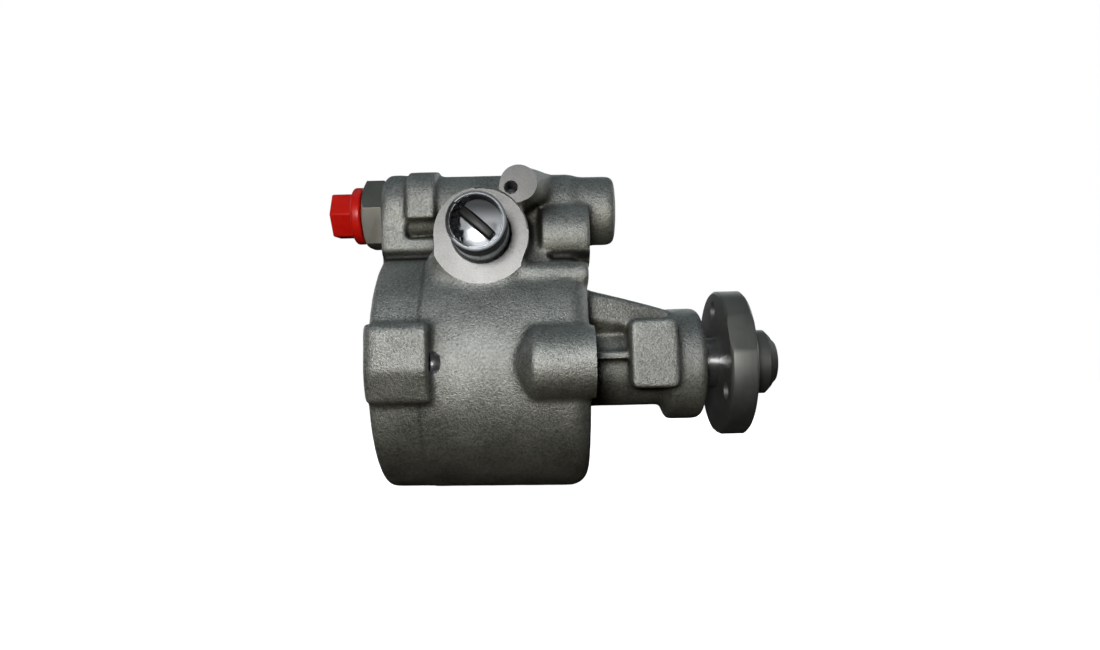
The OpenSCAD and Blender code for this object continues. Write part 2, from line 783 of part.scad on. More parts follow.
module rotor_retaining_ring() {
    gap_angle = 50;
    color("darkgray") on_x(clip_groove_x + 0.1) rotate([0, 0, gap_angle / 2])
        rotate_extrude(angle = 360 - gap_angle) translate([spline_r - 1.4 + static_gap, 0])
            square([3, 1]);
}

module shaft_bushing() {
    color("darkgoldenrod") on_x(bush_back + snap)
        tube(shaft_r + bush_wall + running_gap - static_gap, shaft_r + running_gap,
            bush_front - bush_back - 2 * snap);
}

// Lip seal: outer case, web and the lip that leans on the shaft
module shaft_seal() {
    lip_r = shaft_r + running_gap;
    case_r = seal_r - static_gap;
    color("black") on_x(bush_front + snap) rotate_extrude() polygon([
        [case_r, 0], [case_r, seal_length], [lip_r + 0.8, seal_length], [lip_r, seal_length - 0.8],
        [lip_r, seal_length - 1.6], [lip_r + 1, 2], [lip_r + 2, 1.4], [lip_r + 2, seal_length - 2],
        [case_r - 1.2, seal_length - 2], [case_r - 1.2, 0]
    ]);
}

module drive_flange() {
    nose_chamfer = 2;
    edge = 0.8;
    color("dimgray") difference() {
        on_x(0) rotate_extrude() polygon([
            [shaft_r + static_gap / 2, flange_back], [flange_r - edge, flange_back],
            [flange_r, flange_back + edge],
            [flange_r, flange_front - edge], [flange_r - edge, flange_front], [hub_r, flange_front],
            [hub_r, hub_front - nose_chamfer], [hub_r - nose_chamfer, hub_front],
            [shaft_r + static_gap / 2, hub_front]
        ]);
        for (i = [0 : 2]) {
            rotate([90 - first_hole_angle - 120 * i, 0, 0])
                on_x(flange_back - 1, 0, pulley_circle_r)
                    cylinder(r = pulley_hole_r, h = flange_thickness + 2);
            rotate([-flat_angle - 120 * i, 0, 0])
                translate([flange_back - 1, -flange_flat - 10, -flange_r])
                    cube([flange_thickness + 2, 10, 2 * flange_r]);
        }
    }
}

module outlet_fitting() {
    color("slategray") difference() {
        union() {
            translate([-outlet_face, -valve_y, valve_z]) rotate([0, -90, 0]) rotate(fitting_turn)
                hexagon(fitting_flats, fitting_hex_length, 1);
            on_x(-outlet_face - 1, -valve_y, valve_z)
                cylinder(r = fitting_thread_r, h = fitting_thread_length + 1);
        }
        on_x(fitting_x - 1, -valve_y, valve_z) cylinder(r = port_r, h = port_depth + 1);
        on_x(fitting_x, -valve_y, valve_z)
            cylinder(r = orifice_r, h = fitting_hex_length + fitting_thread_length + 1);
    }
}

module outlet_fitting_o_ring() {
    color("black") on_x(fitting_groove_width / 2 - outlet_face, -valve_y, valve_z)
        torus(fitting_thread_r + fitting_o_ring_r + 0.03, fitting_o_ring_r);
}

module outlet_cap() {
    dome = 0.5;
    color("red") {
        translate([cap_x + snap, -valve_y, valve_z]) rotate([0, -90, 0]) rotate(cap_turn)
            hexagon(cap_flats, cap_hex_length + snap, dome);
        on_x(cap_x, -valve_y, valve_z) cylinder(r = cap_flange_r, h = cap_flange_length);
        on_x(fitting_x - 1, -valve_y, valve_z) cylinder(r = port_r - 0.05, h = port_depth - 2);
    }
}

module flow_control_valve() {
    color("silver") difference() {
        union() {
            on_x(nose_x, -valve_y, valve_z) cylinder(r = nose_r, h = land_x - nose_x + 1);
            on_x(land_x, -valve_y, valve_z) cylinder(r = land_r, h = land_length);
            on_x(land_x, -valve_y, valve_z) cylinder(r = waist_r, h = land_length + waist_length + 1);
            on_x(land_x + land_length + waist_length, -valve_y, valve_z)
                cylinder(r = land_r, h = spool_end - land_x - land_length - waist_length);
        }
        on_x(relief_bore_x, -valve_y, valve_z)
            cylinder(r = relief_bore_r, h = spool_end - relief_bore_x + 1);
        // Vents from the relief bore to the waist, and balance grooves in the rear land
        translate([land_x + land_length + waist_length / 2 + 1.5, -valve_y, valve_z])
            cylinder(r = vent_r, h = 2 * land_r, center = true);
        for (i = [1 : 3])
            on_x(spool_end - balance_pitch * i, -valve_y, valve_z) tube(land_r + 1, land_r - 0.6, 0.8);
    }
}

module flow_control_spring() {
    color("lightgray") on_x(spool_end + static_gap, -valve_y, valve_z)
        coil_spring(flow_spring_r, flow_spring_wire_r, valve_bore_reach - spool_end - 2 * static_gap, 7);
}

module relief_plug() {
    color("gray") difference() {
        union() {
            on_x(relief_seat_x, -valve_y, valve_z)
                cylinder(r = relief_bore_r - static_gap, h = relief_plug_length);
            on_x(spool_end, -valve_y, valve_z) hexagon(relief_hex_flats, relief_hex_length, 0.6);
        }
        on_x(relief_seat_x - 1, -valve_y, valve_z) cylinder(r = relief_seat_r, h = 4);
        on_x(relief_seat_x, -valve_y, valve_z) cylinder(r = 0.9, h = 20);
    }
}

module relief_ball() {
    color("silver") translate([relief_ball_x, -valve_y, valve_z]) sphere(relief_ball_r);
}

module relief_ball_guide() {
    color("gray") {
        on_x(guide_x - 2, -valve_y, valve_z) cylinder(r = guide_r, h = 2);
        on_x(guide_x - 8, -valve_y, valve_z) cylinder(r = guide_stem_r, h = 7);
    }
}

module relief_spring() {
    color("lightgray") on_x(relief_bore_x + static_gap, -valve_y, valve_z)
        coil_spring(relief_spring_r, relief_spring_wire_r,
            guide_x - 2 - relief_bore_x - 2 * static_gap, 8);
}

module inlet_tube() {
    color("silver") difference() {
        union() {
            on_y(-inlet_back, -inlet_face, inlet_z) cylinder(r = stub_r, h = stub_length);
            on_y(-inlet_back, press_depth - 1 - inlet_face, inlet_z)
                cylinder(r = press_r, h = press_depth - 1);
        }
        on_y(-inlet_back, 0, inlet_z) cylinder(r = stub_r - stub_wall, h = stub_rim + 1);
    }
}

module inlet_plug() {
    floor_y = plug_depth - stub_rim;
    color("gainsboro") difference() {
        on_y(-inlet_back, floor_y + plug_wall, inlet_z)
            cylinder(r = plug_r, h = plug_depth + plug_wall - 0.4);
        on_y(-inlet_back, floor_y, inlet_z)
            cylinder(r1 = plug_r - 2.4, r2 = plug_r - plug_wall, h = 2 + snap);
        on_y(-inlet_back, floor_y - 2, inlet_z) cylinder(r = plug_r - plug_wall, h = plug_depth);
    }
}

// Bar that stands across the plug's floor, to pull it out by
module inlet_plug_bar() {
    bar_turn = -42;
    bar_length = 1.7 * (plug_r - plug_wall);
    color("black") on_y(-inlet_back, plug_depth - 2.2 - stub_rim, inlet_z) rotate(bar_turn)
        linear_extrude(3.6) square([bar_length, bar_width], center = true);
}

module vane_1() { vane(1); }
module vane_2() { vane(2); }
module vane_3() { vane(3); }
module vane_4() { vane(4); }
module vane_5() { vane(5); }
module vane_6() { vane(6); }
module vane_7() { vane(7); }
module vane_8() { vane(8); }
module vane_9() { vane(9); }
module vane_10() { vane(10); }

pump_housing();
end_cover();
end_cover_retaining_ring();
end_cover_o_ring();
pressure_plate_spring();
pressure_plate();
pressure_plate_o_ring();
pump_ring();
rotor();
vane_1();
vane_2();
vane_3();
vane_4();
vane_5();
vane_6();
vane_7();
vane_8();
vane_9();
vane_10();
thrust_plate();
dowel_pins();
drive_shaft();
rotor_retaining_ring();
shaft_bushing();
shaft_seal();
drive_flange();
outlet_fitting();
outlet_fitting_o_ring();
outlet_cap();
flow_control_valve();
flow_control_spring();
relief_plug();
relief_ball();
relief_ball_guide();
relief_spring();
inlet_tube();
inlet_plug();
inlet_plug_bar();
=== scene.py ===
import json
import math

import bmesh
import bpy
import numpy as np
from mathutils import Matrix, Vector, noise


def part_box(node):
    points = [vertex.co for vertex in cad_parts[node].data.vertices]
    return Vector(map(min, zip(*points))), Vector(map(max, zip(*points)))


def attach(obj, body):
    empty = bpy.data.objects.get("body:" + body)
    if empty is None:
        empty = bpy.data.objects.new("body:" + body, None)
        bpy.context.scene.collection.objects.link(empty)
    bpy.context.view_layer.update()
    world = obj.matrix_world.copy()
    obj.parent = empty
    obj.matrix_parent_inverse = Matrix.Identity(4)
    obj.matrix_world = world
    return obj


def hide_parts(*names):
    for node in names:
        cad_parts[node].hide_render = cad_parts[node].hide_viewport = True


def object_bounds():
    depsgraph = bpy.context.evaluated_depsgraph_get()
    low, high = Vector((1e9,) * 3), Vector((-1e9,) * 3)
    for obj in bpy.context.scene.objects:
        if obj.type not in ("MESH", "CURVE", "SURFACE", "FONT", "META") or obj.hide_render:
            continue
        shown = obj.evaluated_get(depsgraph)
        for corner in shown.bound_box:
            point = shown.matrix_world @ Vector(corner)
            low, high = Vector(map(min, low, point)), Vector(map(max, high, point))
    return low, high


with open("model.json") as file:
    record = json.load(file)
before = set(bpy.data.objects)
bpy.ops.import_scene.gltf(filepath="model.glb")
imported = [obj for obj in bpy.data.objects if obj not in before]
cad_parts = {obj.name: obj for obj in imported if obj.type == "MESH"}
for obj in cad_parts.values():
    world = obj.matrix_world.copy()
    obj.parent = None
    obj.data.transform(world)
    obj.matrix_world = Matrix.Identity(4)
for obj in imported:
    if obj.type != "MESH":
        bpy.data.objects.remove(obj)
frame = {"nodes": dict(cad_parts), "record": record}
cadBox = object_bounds()
cadNodes = frame["nodes"]
slotOf = {part["node"]: part["material_slot"] for part in frame["record"]["subparts"]}
mm = 0.001
axisX, axisY, axisZ = Vector((1, 0, 0)), Vector((0, 1, 0)), Vector((0, 0, 1))
print("frame loaded:", len(cadNodes), "nodes")

view = {
    "place": (-0.0162, -0.2832, -0.0086),
    "turn": (94.996, 1.36, -0.29),
    "lens": 23.79,
}
cameraData = bpy.data.cameras.new("photoCamera")
cameraData.lens = view["lens"]
cameraData.sensor_width = 36
cameraData.clip_start = 0.01
camera = bpy.data.objects.new("photoCamera", cameraData)
camera.location = view["place"]
camera.rotation_euler = [math.radians(a) for a in view["turn"]]
bpy.context.collection.objects.link(camera)
bpy.context.scene.camera = camera
bpy.context.scene.view_settings.view_transform = "Standard"


lamps = {
    "frontLamp": {"place": (-0.07, -0.42, 0.05), "aim": (-0.02, 0, 0.01),
                  "size": 0.08, "power": 1.45, "tint": (1.0, 0.995, 0.98)},
    "topLamp": {"place": (-0.05, 0.02, 0.55), "aim": (-0.02, 0, 0.02),
                "size": 0.5, "power": 0.16, "tint": (0.86, 0.95, 1.0)},
    "backLamp": {"place": (0.10, 0.55, 0.28), "aim": (-0.02, 0, 0.01),
                 "size": 0.4, "power": 0.8, "tint": (0.95, 0.98, 1.0)},
    "pulleyLamp": {"place": (0.52, 0.22, 0.20), "aim": (0.03, 0, 0.01),
                   "size": 0.4, "power": 0.7, "tint": (0.97, 0.99, 1.0)},
    "coverLamp": {"place": (-0.58, 0.22, 0.16), "aim": (-0.06, 0, 0.01),
                  "size": 0.4, "power": 0.7, "tint": (0.97, 0.99, 1.0)},
}


def addLamp(name, place, aim, size, power, tint):
    lamp = bpy.data.lights.new(name, "AREA")
    lamp.shape = "DISK"
    lamp.size = size
    lamp.energy = power
    lamp.color = tint
    holder = bpy.data.objects.new(name, lamp)
    holder.location = place
    holder.rotation_euler = (Vector(aim) - Vector(place)).to_track_quat("-Z", "Y").to_euler()
    bpy.context.collection.objects.link(holder)


for name, settings in lamps.items():
    addLamp(name, **settings)
print("camera and lamps set:", len(lamps), "lamps")


class Wire:
    # an output socket; sums and products of wires turn into Math nodes
    def __init__(self, tree, socket=None):
        self.tree = tree
        self.socket = socket

    def put(self, kind, settings=None, sockets=None, out=0):
        node = self.tree.nodes.new(kind)
        for name, value in (settings or {}).items():
            if name == "stops":
                ramp = node.color_ramp
                while len(ramp.elements) < len(value):
                    ramp.elements.new(1.0)
                for element, (spot, tone) in zip(ramp.elements, value):
                    element.position = spot
                    element.color = (*tone, 1.0) if isinstance(tone, tuple) else (tone, tone, tone, 1.0)
            else:
                setattr(node, name, value)
        for name, value in (sockets or {}).items():
            if isinstance(value, Wire):
                self.tree.links.new(value.socket, node.inputs[name])
            else:
                node.inputs[name].default_value = value
        return Wire(self.tree, node.outputs[out]) if len(node.outputs) else None

    def math(self, operation, *values):
        return self.put("ShaderNodeMath", {"operation": operation}, dict(enumerate(values)))

    def __add__(self, other):
        return self.math("ADD", self, other)

    def __sub__(self, other):
        return self.math("SUBTRACT", self, other)

    def __rsub__(self, other):
        return self.math("SUBTRACT", other, self)

    def __mul__(self, other):
        return self.math("MULTIPLY", self, other)

    def __pow__(self, other):
        return self.math("POWER", self, other)

    def __rpow__(self, other):
        return self.math("POWER", other, self)

    __radd__, __rmul__ = __add__, __mul__

    def ramp(self, *stops):
        return self.put("ShaderNodeValToRGB", {"stops": stops}, {0: self})

    def glide(self, start, end, low=0.0, high=1.0):
        # eases from low to high while the value goes from start to end
        return self.put("ShaderNodeMapRange", {"interpolation_type": "SMOOTHSTEP"},
                        {"Value": self, "From Min": start, "From Max": end, "To Min": low, "To Max": high})

    def mix(self, low, high):
        return self.put("ShaderNodeMix", {"data_type": "RGBA"}, {0: self, 6: low, 7: high}, out=2)

    def blend(self, way, other, share=1.0):
        return self.put("ShaderNodeMix", {"data_type": "RGBA", "blend_type": way}, {0: share, 6: self, 7: other}, out=2)

    def along(self, axis):
        return self.put("ShaderNodeSeparateXYZ", {}, {0: self}, out=axis)

    def stretched(self, by):
        return self.put("ShaderNodeVectorMath", {"operation": "MULTIPLY"}, {0: self, 1: by})

    def grain(self, size, detail=2.0, rough=0.5):
        # noise whose features are about size millimetres across
        return self.put("ShaderNodeTexNoise", {},
                        {"Vector": self, "Scale": 1.0 / size, "Detail": detail, "Roughness": rough})

    def bump(self, depth, strength=1.0):
        return self.put("ShaderNodeBump", {}, {"Height": self, "Distance": depth * mm, "Strength": strength})


def startMaterial(name):
    # the wire that comes back is the place on the piece in millimetres
    material = bpy.data.materials.new(name)
    material.use_nodes = True
    material.node_tree.nodes.clear()
    here = Wire(material.node_tree).put("ShaderNodeTexCoord", out="Object").stretched((1000, 1000, 1000))
    return material, here


def endMaterial(wire, sockets):
    shader = wire.put("ShaderNodeBsdfPrincipled", {}, sockets, out="BSDF")
    wire.put("ShaderNodeOutputMaterial", {}, {"Surface": shader})


def rgb(r, g, b):
    return (r, g, b, 1.0)


# painted shade along the crease of the rear band and in the corners below the block and the bulge
castShade = {
    "colour": (0.03, 0.03, 0.028),
    "seam": 58.0,    # how far back the rear band of the body begins
    "seamWidth": 1.5,
    "seamShare": 0.4,
    "seamFade": (-36.0, -16.0),    # the heights between which it runs out
    "bodyReach": 45.5,
    "cornerShare": 0.93,
    # y, z and spread of a corner, then where it begins and ends along the shaft
    "corners": ((-19.0, 41.2, 11.0, -80.0, -52.0), (-24.4, 38.9, 7.0, -15.0, 2.0)),
}


def castMetal():
    material, here = startMaterial("castMetal")
    sand = here.grain(0.8, 3.0, 0.65)
    pits = here.grain(0.35, 2.0, 0.5)
    patches = here.grain(16.0, 3.0, 0.6)
    # lighter convex edges are rubbed wear; darker concave creases are painted shade
    edge = here.put("ShaderNodeNewGeometry", out="Pointiness").ramp((0.44, 0.0), (0.5, 0.5), (0.58, 1.0))
    # painted shade: ambient occlusion darkens the colour in corners, creases and recesses
    bare = here.put("ShaderNodeAmbientOcclusion", {"samples": 8, "only_local": True}, {"Distance": 7 * mm}, out="AO")
    occlusionShade = (bare ** 1.8).ramp((0.06, (0.12, 0.112, 0.095)), (0.45, (0.52, 0.51, 0.48)), (0.85, (1.0, 1.0, 1.0)))
    tone = (sand * 0.65 + patches * 0.35).ramp((0.34, (0.18, 0.185, 0.18)), (0.66, (0.50, 0.51, 0.505)))
    wearAndCreaseShade = (edge * 0.9).mix(rgb(0.10, 0.10, 0.095), rgb(0.58, 0.585, 0.575))
    colour = tone.blend("OVERLAY", wearAndCreaseShade, 0.55).blend("MULTIPLY", occlusionShade)
    # painted light: the underside is tinted warm brown and the top cold, as the room's light falls
    lie = here.put("ShaderNodeNewGeometry", out="Normal").along("Z")
    lightTint = (lie * 0.5 + 0.5).ramp((0.0, (0.80, 0.74, 0.62)), (0.3, (0.99, 0.98, 0.87)),
                                 (0.55, (1.0, 1.0, 0.985)), (0.85, (0.93, 0.99, 0.985)))
    colour = colour.blend("MULTIPLY", lightTint)
    # painted shade in the line where the rear band of the body begins
    shadeColour = rgb(*castShade["colour"])
    x, y, z = [here.along(axis) for axis in "XYZ"]
    gap = x + castShade["seam"] + patches * 0.5
    line = gap.math("ABSOLUTE", gap).glide(0.0, castShade["seamWidth"], castShade["seamShare"], 0.0)
    reach = y * y + z * z
    onBody = reach.math("LESS_THAN", reach, castShade["bodyReach"] ** 2)
    low, high = castShade["seamFade"]
    fade = here.put("ShaderNodeMapRange", {}, {"Value": z, "From Min": low, "From Max": high})
    colour = (line * onBody * fade).mix(colour, shadeColour)
    # and painted shade in the corners below the block and below the bulge
    for inY, inZ, spread, fromX, toX in castShade["corners"]:
        depth, rise = y - inY, z - inZ
        corner = (depth * depth + rise * rise).glide(1.0, spread, castShade["cornerShare"], 0.0)
        stretch = x.math("LESS_THAN", x, toX) * x.math("GREATER_THAN", x, fromX)
        colour = (corner * stretch).mix(colour, shadeColour)
    rough = sand * 0.16 + patches * 0.10 + 0.42
    skin = (sand * 0.8 + pits * 0.4).bump(0.36, 0.9)
    endMaterial(here, {"Base Color": colour, "Metallic": 0.9, "Roughness": rough, "Normal": skin})
    return material


def milledMetal():
    material, here = startMaterial("milledMetal")
    fine = here.grain(0.5, 3.0, 0.6)
    pores = here.grain(1.3, 2.0, 0.5).ramp((0.26, 0.0), (0.34, 1.0))
    smear = here.grain(9.0, 3.0, 0.6)
    tone = (fine * 0.7 + smear * 0.3).ramp((0.25, (0.065, 0.065, 0.064)), (0.75, (0.155, 0.154, 0.152)))
    colour = (1.0 - pores).mix(tone, rgb(0.09, 0.088, 0.085))
    skin = (fine * 0.6 + pores * 0.4).bump(0.05, 0.7)
    endMaterial(here, {"Base Color": colour, "Metallic": 0.9, "Roughness": fine * 0.12 + 0.36, "Normal": skin})
    return material


def turnedSteel(name, dark, light, rough, ring=0.9, depth=0.012, topShade=None, blackPast=None):
    # turning marks run around the shaft axis, and past the station blackPast the steel is blackened
    material, here = startMaterial(name)
    smear = here.grain(7.0, 3.0, 0.6)
    fine = here.grain(0.4, 2.0, 0.5)
    marks = here.stretched((1, 0.02, 0.02)).grain(ring * 0.25, 2.0, 0.6)
    tone = (smear * 0.6 + marks * 0.4).mix(rgb(*dark), rgb(*light))
    if topShade:
        # painted shade: faces that look up are darkened and cooled
        lie = here.put("ShaderNodeNewGeometry", out="Normal").along("Z")
        tone = tone.blend("MULTIPLY", (lie * 0.5 + 0.5).ramp((0.35, (1.0, 1.0, 1.0)), (0.7, topShade)))
    gloss = smear * 0.14 + marks * 0.08 + rough
    if blackPast:
        x = here.along("X")
        black = x.math("GREATER_THAN", x, blackPast)
        tone, gloss = black.mix(tone, rgb(0.07, 0.07, 0.068)), gloss + black * 0.42
    skin = (marks * 0.7 + fine * 0.3).bump(depth, 0.8)
    endMaterial(here, {"Base Color": tone, "Metallic": 0.95, "Roughness": gloss, "Normal": skin})
    return material


def zincPlate(name, rough, light=0.72, shadeRun=None):
    # shadeRun names an axis and the stretch along it over which a painted shade goes from dark to clean plating
    material, here = startMaterial(name)
    cloud = here.grain(4.0, 3.0, 0.6)
    fine = here.grain(0.5, 2.0, 0.5)
    tone = cloud.ramp((0.3, (light * 0.70, light * 0.74, light * 0.79)), (0.7, (light, light * 1.03, light * 1.08)))
    metal, gloss = 1.0, cloud * 0.14 + rough
    if shadeRun:
        axis, dark, clean = shadeRun
        unshaded = (here.along(axis) + cloud * 1.5).glide(dark, clean)
        tone = unshaded.mix(rgb(0.03, 0.034, 0.038), tone)
        metal, gloss = unshaded, gloss + (1.0 - unshaded) * 0.4
    endMaterial(here, {"Base Color": tone, "Metallic": metal, "Roughness": gloss, "Normal": fine.bump(0.015, 0.5)})
    return material


def redPlastic():
    material, here = startMaterial("redPlastic")
    haze = here.grain(5.0, 3.0, 0.6)
    fine = here.grain(0.35, 2.0, 0.5)
    tone = haze.ramp((0.3, (0.46, 0.005, 0.0022)), (0.7, (0.57, 0.010, 0.0045)))
    endMaterial(here, {"Base Color": tone, "Roughness": haze * 0.16 + 0.26, "Specular IOR Level": 0.34,
                       "Normal": fine.bump(0.02, 0.5)})
    return material


def blackPlastic():
    # streaks run along the bar, down to the right
    material, here = startMaterial("blackPlastic")
    turned = here.put("ShaderNodeVectorRotate", {"rotation_type": "Y_AXIS"}, {"Vector": here, "Angle": math.radians(-42)})
    streak = turned.stretched((0.12, 1, 2.2)).grain(0.8, 3.0, 0.6)
    fine = here.grain(0.3, 2.0, 0.5)
    tone = streak.ramp((0.35, (0.003, 0.003, 0.003)), (0.7, (0.012, 0.011, 0.010)))
    endMaterial(here, {"Base Color": tone, "Roughness": streak * 0.3 + 0.28, "Specular IOR Level": 0.22,
                       "Normal": (streak * 0.7 + fine * 0.3).bump(0.08, 0.7)})
    return material


def blackFilm():
    material, here = startMaterial("blackFilm")
    haze = here.grain(1.2, 3.0, 0.6)
    tone = haze.ramp((0.3, (0.006, 0.007, 0.008)), (0.7, (0.022, 0.023, 0.025)))
    endMaterial(here, {"Base Color": tone, "Roughness": haze * 0.2 + 0.14, "Normal": haze.bump(0.05, 0.6)})
    return material


def blackRubber():
    material, here = startMaterial("blackRubber")
    fine = here.grain(0.4, 3.0, 0.6)
    tone = fine.ramp((0.3, (0.010, 0.010, 0.011)), (0.7, (0.028, 0.028, 0.030)))
    endMaterial(here, {"Base Color": tone, "Roughness": fine * 0.2 + 0.5, "Normal": fine.bump(0.03, 0.5)})
    return material


materials = {
    "cast_housing": castMetal(),
    "milled": milledMetal(),
    "cover_steel": turnedSteel("coverSteel", (0.30, 0.30, 0.29), (0.48, 0.48, 0.47), 0.34),
    "ground_steel": turnedSteel("groundSteel", (0.26, 0.265, 0.27), (0.42, 0.425, 0.43), 0.08, 0.4, 0.004,
                                blackPast=62.0),
    "flange_steel": turnedSteel("flangeSteel", (0.16, 0.165, 0.155), (0.28, 0.285, 0.27), 0.40),
    "oxide": turnedSteel("oxideSteel", (0.05, 0.052, 0.05), (0.09, 0.092, 0.088), 0.5),
    "fitting_steel": turnedSteel("fittingSteel", (0.36, 0.35, 0.305), (0.52, 0.505, 0.44), 0.46,
                                 topShade=(0.42, 0.46, 0.48)),
    "tapped": turnedSteel("tappedSteel", (0.26, 0.27, 0.275), (0.42, 0.43, 0.435), 0.26),
    "zinc_tube": zincPlate("zincTube", 0.46, 0.42),
    # painted shade: the tube's outer wall darkens towards its rim, the plug's foil towards its top
    "tube_shade": zincPlate("shadedTube", 0.22, 0.78, ("Y", -45.5, -42.0)),
    "plug_foil": zincPlate("plugFoil", 0.24, 0.5, ("Z", 53.0, 44.5)),
    "red_cap": redPlastic(),
    "black_plastic": blackPlastic(),
    "film": blackFilm(),
    "black_rubber": blackRubber(),
    "bushing_bronze": turnedSteel("bushingBronze", (0.42, 0.27, 0.12), (0.58, 0.39, 0.19), 0.30),
}
for name, thing in cadNodes.items():
    thing.data.materials.clear()
    thing.data.materials.append(materials[slotOf[name]])
print("materials made:", len(materials))


def lathe(bm, profile, place, along, segments=96):
    # closed solid of revolution; profile is (station, radius) in millimetres
    side = along.orthogonal().normalized()
    other = along.cross(side)
    rows = []
    for station, radius in profile:
        spot = (Vector(place) + along * station) * mm
        if radius == 0:
            rows.append([bm.verts.new(spot)])
            continue
        rows.append([])
        for k in range(segments):
            a = 2 * math.pi * k / segments
            rows[-1].append(bm.verts.new(spot + (side * math.cos(a) + other * math.sin(a)) * radius * mm))
    for low, high in zip(rows, rows[1:]):
        for k in range(segments):
            corners = [low[k % len(low)], low[(k + 1) % len(low)], high[(k + 1) % len(high)], high[k % len(high)]]
            bm.faces.new(list(dict.fromkeys(corners)))


def turn(station, radius, bend, start, end, steps=6):
    # rounded edge of a lathe profile, angles from the station axis
    angles = [math.radians(start + (end - start) * k / steps) for k in range(steps + 1)]
    return [(station + bend * math.cos(a), radius + bend * math.sin(a)) for a in angles]


def rod(bm, place, along, start, end, radius, segments=64):
    lathe(bm, [(start, 0), (start, radius), (end, radius), (end, 0)], place, along, segments)


def prism(bm, outline, start, end, along=axisY):
    # outline is (x, z) in millimetres pushed along Y, or (y, z) pushed along X
    turned = (lambda a, s, b: (a, s, b)) if along == axisY else (lambda a, s, b: (s, a, b))
    low = [bm.verts.new(Vector(turned(a, start, b)) * mm) for a, b in outline]
    high = [bm.verts.new(Vector(turned(a, end, b)) * mm) for a, b in outline]
    bm.faces.new(low)
    bm.faces.new(high[::-1])
    for k in range(len(low)):
        n = (k + 1) % len(low)
        bm.faces.new([low[n], low[k], high[k], high[n]])


def asObject(name, bm, material=None):
    bmesh.ops.recalc_face_normals(bm, faces=bm.faces)
    mesh = bpy.data.meshes.new(name)
    bm.to_mesh(mesh)
    bm.free()
    thing = bpy.data.objects.new(name, mesh)
    bpy.context.collection.objects.link(thing)
    if material:
        mesh.materials.append(material)
    return thing


def settle(thing):
    # turns the modifiers into the mesh itself
    result = bpy.data.meshes.new_from_object(thing.evaluated_get(bpy.context.evaluated_depsgraph_get()))
    old = thing.data
    thing.modifiers.clear()
    thing.data = result
    result.name = thing.name
    bpy.data.meshes.remove(old)


def combine(thing, tool, operation):
    step = thing.modifiers.new("combine", "BOOLEAN")
    step.operation = operation
    step.solver = "EXACT"
    step.material_mode = "TRANSFER"
    step.object = tool
    settle(thing)
    bpy.data.objects.remove(tool)


def breakEdges(thing, width, segments=3, angle=24):
    step = thing.modifiers.new("edges", "BEVEL")
    step.width = width * mm
    step.segments = segments
    step.limit_method = "ANGLE"
    step.angle_limit = math.radians(angle)
    step.use_clamp_overlap = True
    settle(thing)


def softShade(thing, angle=32):
    thing.data.shade_smooth()
    thing.data.set_sharp_from_angle(angle=math.radians(angle))


def enter(thing, body, node):
    # the piece takes the place of its CAD node
    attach(thing, body)
    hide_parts(node)


def thread(start, end, radius, pitch, depth, chamfer):
    # zigzag profile of a tapped hole, from its mouth inwards
    points = [(start - 3, 0), (start - 3, radius + chamfer + 3), (start + chamfer, radius)]
    station = start + chamfer + pitch * 0.3
    while station + pitch < end:
        points += [(station, radius), (station + pitch * 0.42, radius + depth), (station + pitch * 0.58, radius + depth)]
        station += pitch
    return points + [(end, radius), (end + radius * 0.3, radius * 0.62), (end + radius * 0.42, 0)]


# the casting is the CAD housing with its bores stopped up, softened as a sand casting is, then machined again
casting = {
    "voxel": 0.8,
    "filling": 80,
    "softening": 10,
    "stock": 2,    # left on a face that gets machined
    "waves": ((6.0, 0.05), (2.1, 0.035)),    # size and height
    "shrink": 0.06,
    "bodyEnd": -75.5,
    "bodyRadius": 44.3,
    "crease": -57.8,
    "bandReach": (42, 46.5),
    "bandStep": 0.18,
    "bandRun": 0.9,
    "coverBack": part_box("end_cover")[0].x / mm,
    "bore": 35,
    "inlet": (-37.6, 45.6),    # x and z
    "inletFace": -34.4,
    "inletRadius": 17.9,
    "inletStock": 16.7,
    "lobe": (240.9, 58.2),    # start and sweep in degrees, as in rimArc
    "rim": (18.4, 23.0),
    "rimArc": (198, 104),
    "lug": (-24.2, 62.4),
    "lugRadius": 6.6,
    "lugFace": -37.5,
    "lugHole": (-26.8, 0, 60.9),
    "lugThread": (2.25, 0.8, 0.35, 0.2),    # radius, pitch, depth, chamfer
    "valve": (0, -6, 59.5),
    "outletFace": -75.7,
    "blockFoot": ((-20.2, 42.9), (-18.2, 40.0), (-10, 40.0), (-10, 44), (-20.2, 44)),    # y and z, as in web
    "blockFootEnd": -53,
    "web": ((-29, 32), (-25, 41), (-19, 54), (-8, 54), (-8, 32)),
    "webEnds": (-23.5, -14),
    "foot": (0, -30.4, 31.4),
    "footEnds": (-27, -20),
    "footRadius": 4.2,
    "bossRadius": 12.2,
    "bosses": (-42, 42),
    "bossThread": (3.4, 1.25, 0.5, 0.7),
    "rearHole": (0, -45, 0.8),
    "rearBossBack": -75.4,
}


def stopBores(bm):
    centre = (0, 0, 0)
    rod(bm, centre, axisX, casting["bodyEnd"] + 0.1, -12, casting["bore"] + 2.7)    # pump cavity
    rod(bm, centre, axisX, -15, 37, 12.6)    # bushing
    rod(bm, centre, axisX, 35.6, 42.8, 16.4)    # shaft seal
    for y in casting["bosses"]:
        rod(bm, (0, y, 0), axisX, -19, -0.2, 4.4)
    rod(bm, casting["rearHole"], axisX, casting["rearBossBack"] + 0.2, -54.3, 5.4)
    rod(bm, (0, -38.4, 0.8), axisX, -56, -48.5, 5.8)    # end of the rear hole
    rod(bm, casting["valve"], axisX, casting["outletFace"] + 0.2, 5, 12.2)
    x, z = casting["inlet"]
    rod(bm, (x, 0, z), axisY, -33.8, -3, 12.2)
    rod(bm, casting["lugHole"], axisY, -37.2, -22, 3.4)
    rod(bm, (-53.5, -6, 0), axisZ, 30, 58, 3.6)    # channel up to the valve
    rod(bm, (x, -12, 0), axisZ, 28, 44, 4.8)    # channel down from the inlet


